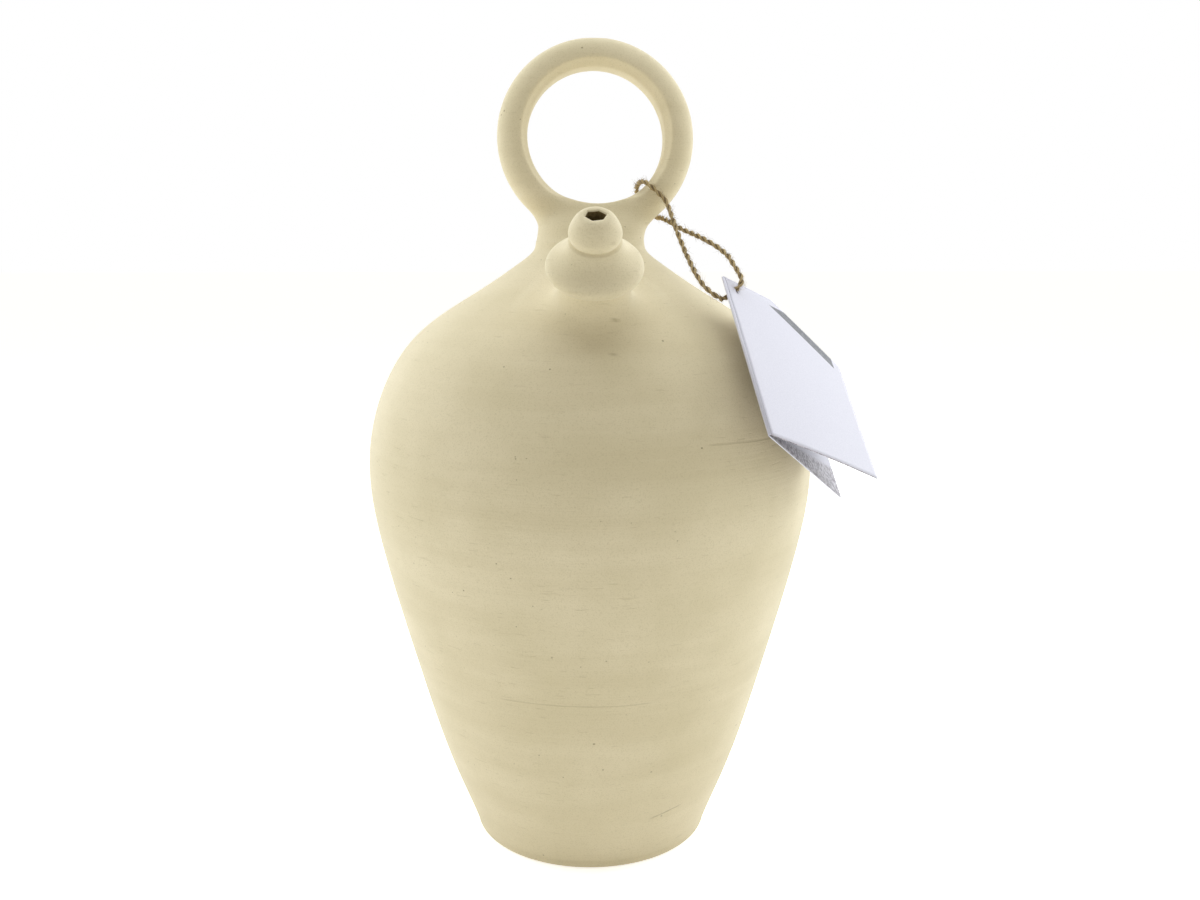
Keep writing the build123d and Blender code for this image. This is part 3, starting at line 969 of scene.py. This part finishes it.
# FOLDED CARD TAG
# 0.4 mm white art card, matt coated, folded once and clipped across its outer corner, with a punched
# hole near the fold. The print is plain: mottled grey inside, and a speckled stripe along the clip.
tag_length, tag_width = 70.4, 61.3
card_thickness, half_gap, setback = 0.4, 0.2, 0.3
clip_across, clip_down = 35.0, 19.0
hole_across, hole_down, hole_radius = 5.5, 4.0, 2.1
fold_top = 1000 * Vector(joints["tag_open"]["pos_m"])
down = Vector(joints["tag_open"]["axis"]).normalized()
back_face = Vector(joints["tag_turn"]["axis"]).normalized()
opening = math.radians(14.2)


def clip_stripe(white, across_mm, down_mm):
    """A speckled grey stripe 4 mm wide along the clipped edge, stopping short of both its ends."""
    slope = math.atan2(clip_down, clip_across)
    down_part = worked(down_mm, math.cos(slope), "MULTIPLY")
    across_part = worked(across_mm, math.sin(slope), "MULTIPLY")
    from_clip = worked(down_part, across_part, "SUBTRACT")
    from_clip = worked(from_clip, (tag_width - clip_across) * math.sin(slope), "ADD")
    stripe = worked(eased(from_clip, 4.1, 4.3, 1.0, 0.0), eased(down_mm, 3.4, 3.6), "MULTIPLY")
    stripe = worked(stripe, eased(across_mm, 56.6, 56.9, 1.0, 0.0), "MULTIPLY")
    speckle = noise_at(0.7, 1.0, detail=3.0, roughness=0.7)
    return tinted(stripe, white, tinted(eased(speckle, 0.40, 0.62), "#4a4b50", "#7d7e84"))


def mottled_ground(white, across_mm, down_mm):
    """Mottled dark grey along the bottom edge, bare grey-toned card above it and a shade by the fold."""
    mottle = noise_at(1.5, 1.0, detail=3.0, roughness=0.7)
    depth = worked(down_mm, worked(across_mm, 0.178, "MULTIPLY"), "ADD")
    ground = eased(depth, 67.5, 69.5)
    by_fold = eased(across_mm, 0.0, 9.0, 0.5, 0.0)
    mottled = tinted(eased(mottle, 0.42, 0.56), "#77717a", "#bdb9c1")
    return tinted(by_fold, tinted(ground, tinted(0.35, white, "#a5a3ab"), mottled), "#6a6369")


# Both faces are the same card under another print, placed by the distances across and down a leaf
prints = []
for name, print_for in (
    ("matt_coated_card_outside", clip_stripe),
    ("matt_coated_card_inside", mottled_ground),
):
    printed_card, tree = new_material(name)
    place = add_node(tree, "ShaderNodeTexCoord").outputs["Object"]
    leaf_uv = add_node(tree, "ShaderNodeUVMap", uv_map="leaf").outputs[0]
    leaf_uv = add_node(tree, "ShaderNodeSeparateXYZ", [(0, leaf_uv)])
    fibre = noise_at(0.5, 1.0, detail=4.0)
    white = tinted(eased(fibre, 0.35, 0.7), "#cfcedb", "#d8d7e3")
    colour = print_for(white, leaf_uv.outputs[0], leaf_uv.outputs[1])
    card_relief = add_node(
        tree, "ShaderNodeBump", [("Height", fibre)], Strength=0.2, Distance=0.0001
    ).outputs[0]
    card_skin = add_node(
        tree,
        "ShaderNodeBsdfPrincipled",
        [("Base Color", colour), ("Normal", card_relief)],
        Roughness=0.5,
        IOR=1.46,
    )
    add_node(tree, "ShaderNodeOutputMaterial", [("Surface", card_skin.outputs[0])])
    prints.append(printed_card)
outside_print, inside_print = prints


def leaf_edge(v):
    """How far across a leaf reaches at a distance down the fold."""
    if v >= clip_down:
        return tag_width
    return tag_width - clip_across + clip_across * v / clip_down


def leaf(name, facing, low, bow, body, node, prints):
    """One leaf as a fine sheet with two faces and an edge, bowed a little away from its flat."""
    out = down.cross(facing) * -1
    high = low + card_thickness
    rows = sorted(set([round(v, 3) for v in np.linspace(0, tag_length, 48)] + [clip_down]))
    steps = 40
    mesh = bmesh.new()
    uv = mesh.loops.layers.uv.new("leaf")
    grid = {}
    for i, v in enumerate(rows):
        for k in range(steps + 1):
            u = setback + (leaf_edge(v) - setback) * k / steps
            rise = bow * math.sin(math.pi * u / tag_width) * (0.6 + 0.4 * v / tag_length)
            for side, n in ((0, low), (1, high)):
                spot = fold_top + down * v + out * u + facing * (n + rise)
                grid[i, k, side] = (mesh.verts.new(spot), u, v)

    def patch(corners, print_index):
        """One small face, left out where the hole is punched."""
        away = [math.hypot(c[1] - hole_across, c[2] - hole_down) for c in corners]
        if max(away) < hole_radius:
            return
        face = mesh.faces.new([c[0] for c in corners])
        face.smooth = True
        face.material_index = print_index
        for loop, c in zip(face.loops, corners):
            loop[uv].uv = (c[1], c[2])

    for i in range(len(rows) - 1):
        for k in range(steps):
            places = ((i, k), (i, k + 1), (i + 1, k + 1), (i + 1, k))
            patch([grid[j, m, 1] for j, m in reversed(places)], 1)
            patch([grid[j, m, 0] for j, m in places], 0)
    rim = [(i, 0) for i in range(len(rows))]
    rim += [(len(rows) - 1, k) for k in range(1, steps + 1)]
    rim += [(i, steps) for i in range(len(rows) - 2, -1, -1)]
    rim += [(0, k) for k in range(steps - 1, 0, -1)]
    for (i, k), (j, m) in zip(rim, rim[1:] + rim[:1]):
        corners = (grid[i, k, 0], grid[j, m, 0], grid[j, m, 1], grid[i, k, 1])
        face = mesh.faces.new([c[0] for c in corners])
        for loop, c in zip(face.loops, corners):
            loop[uv].uv = (c[1], c[2])
    bmesh.ops.scale(mesh, vec=(0.001, 0.001, 0.001), verts=mesh.verts)
    bmesh.ops.recalc_face_normals(mesh, faces=mesh.faces)
    data = bpy.data.meshes.new(name)
    mesh.to_mesh(data)
    mesh.free()
    for material in prints:
        data.materials.append(material)
    piece = bpy.data.objects.new(name, data)
    bpy.context.scene.collection.objects.link(piece)
    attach(piece, body)
    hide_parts(node)
    return piece


back_out = down.cross(back_face) * -1
front_face = back_face * math.cos(opening) - back_out * math.sin(opening)
front_prints, back_prints = (inside_print, outside_print), (outside_print, inside_print)
leaf("tag_front_card", front_face, half_gap, 0.5, "tag_front", "tag_front_leaf", front_prints)
under = -half_gap - card_thickness
leaf("tag_back_card", back_face, under, 0.0, "tag_back", "tag_back_leaf", back_prints)

# The fold itself: the card bent round from one leaf to the other, a little thinner where it is creased
fold_inner, fold_outer = 0.25, half_gap + card_thickness


def off_fold(bend):
    """The direction away from the fold's line, at an angle round it from the back leaf's face."""
    return back_face * math.sin(bend) - back_out * math.cos(bend)


fold_points, fold_faces = [], []
bends = [math.radians(b) for b in range(-90, int(91 + math.degrees(opening)), 8)]
for v in (0.0, tag_length):
    for from_fold in (fold_inner, fold_outer):
        fold_points += [fold_top + down * v + off_fold(bend) * from_fold for bend in bends]
count = len(bends)
for k in range(count - 1):
    fold_faces.append((k, k + 1, 2 * count + k + 1, 2 * count + k))
    fold_faces.append((count + k + 1, count + k, 3 * count + k, 3 * count + k + 1))
    fold_faces.append((k + 1, k, count + k, count + k + 1))
    fold_faces.append((2 * count + k, 2 * count + k + 1, 3 * count + k + 1, 3 * count + k))
fold = finished("tag_fold", fold_points, fold_faces, outside_print, None, ["tag_back_leaf"])
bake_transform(fold)
